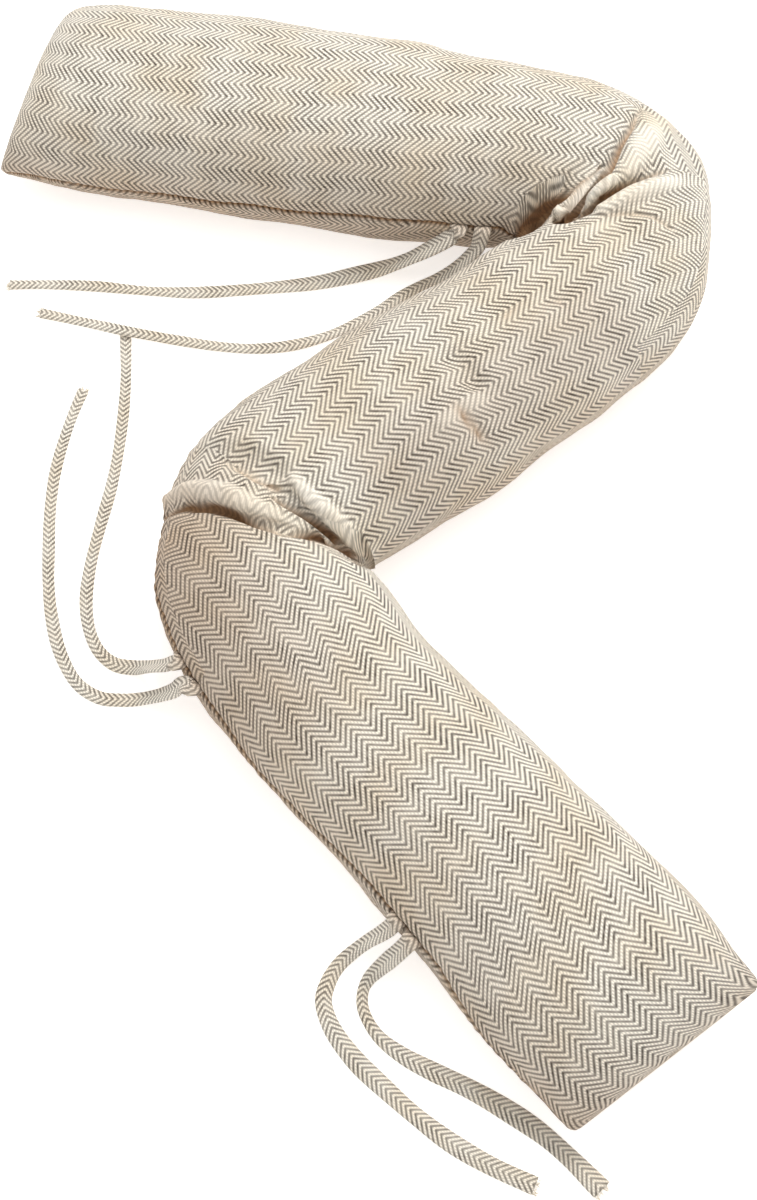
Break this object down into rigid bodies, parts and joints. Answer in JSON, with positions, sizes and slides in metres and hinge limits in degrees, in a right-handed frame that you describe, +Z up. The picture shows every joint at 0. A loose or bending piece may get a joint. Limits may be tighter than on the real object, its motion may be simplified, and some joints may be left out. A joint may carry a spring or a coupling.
{
  "type": "draught excluder",
  "caption": "Long filled cloth tube, bent in a zigzag, that lies along the foot of a door to keep draughts out; tie strands hang from its seam.",
  "frame": {"origin": "on the surface it lies on, under the middle of the filled tube's box", "axes": "+Z up; +X along the first run of the zigzag, from its free end towards the first bend; +Y from the last run towards the first"},
  "size_m": [0.3711, 0.6256, 0.0715],
  "materials": {
    "herringbone_cotton": "matte twill weave in undyed and grey-brown yarn"
  },
  "bodies": {
    "root": {"stuffed_tube": "herringbone_cotton", "tie_1a": "herringbone_cotton", "tie_1b": "herringbone_cotton", "tie_2a": "herringbone_cotton", "tie_2b": "herringbone_cotton", "tie_3a": "herringbone_cotton", "tie_3b": "herringbone_cotton"}
  },
  "joints": []
}
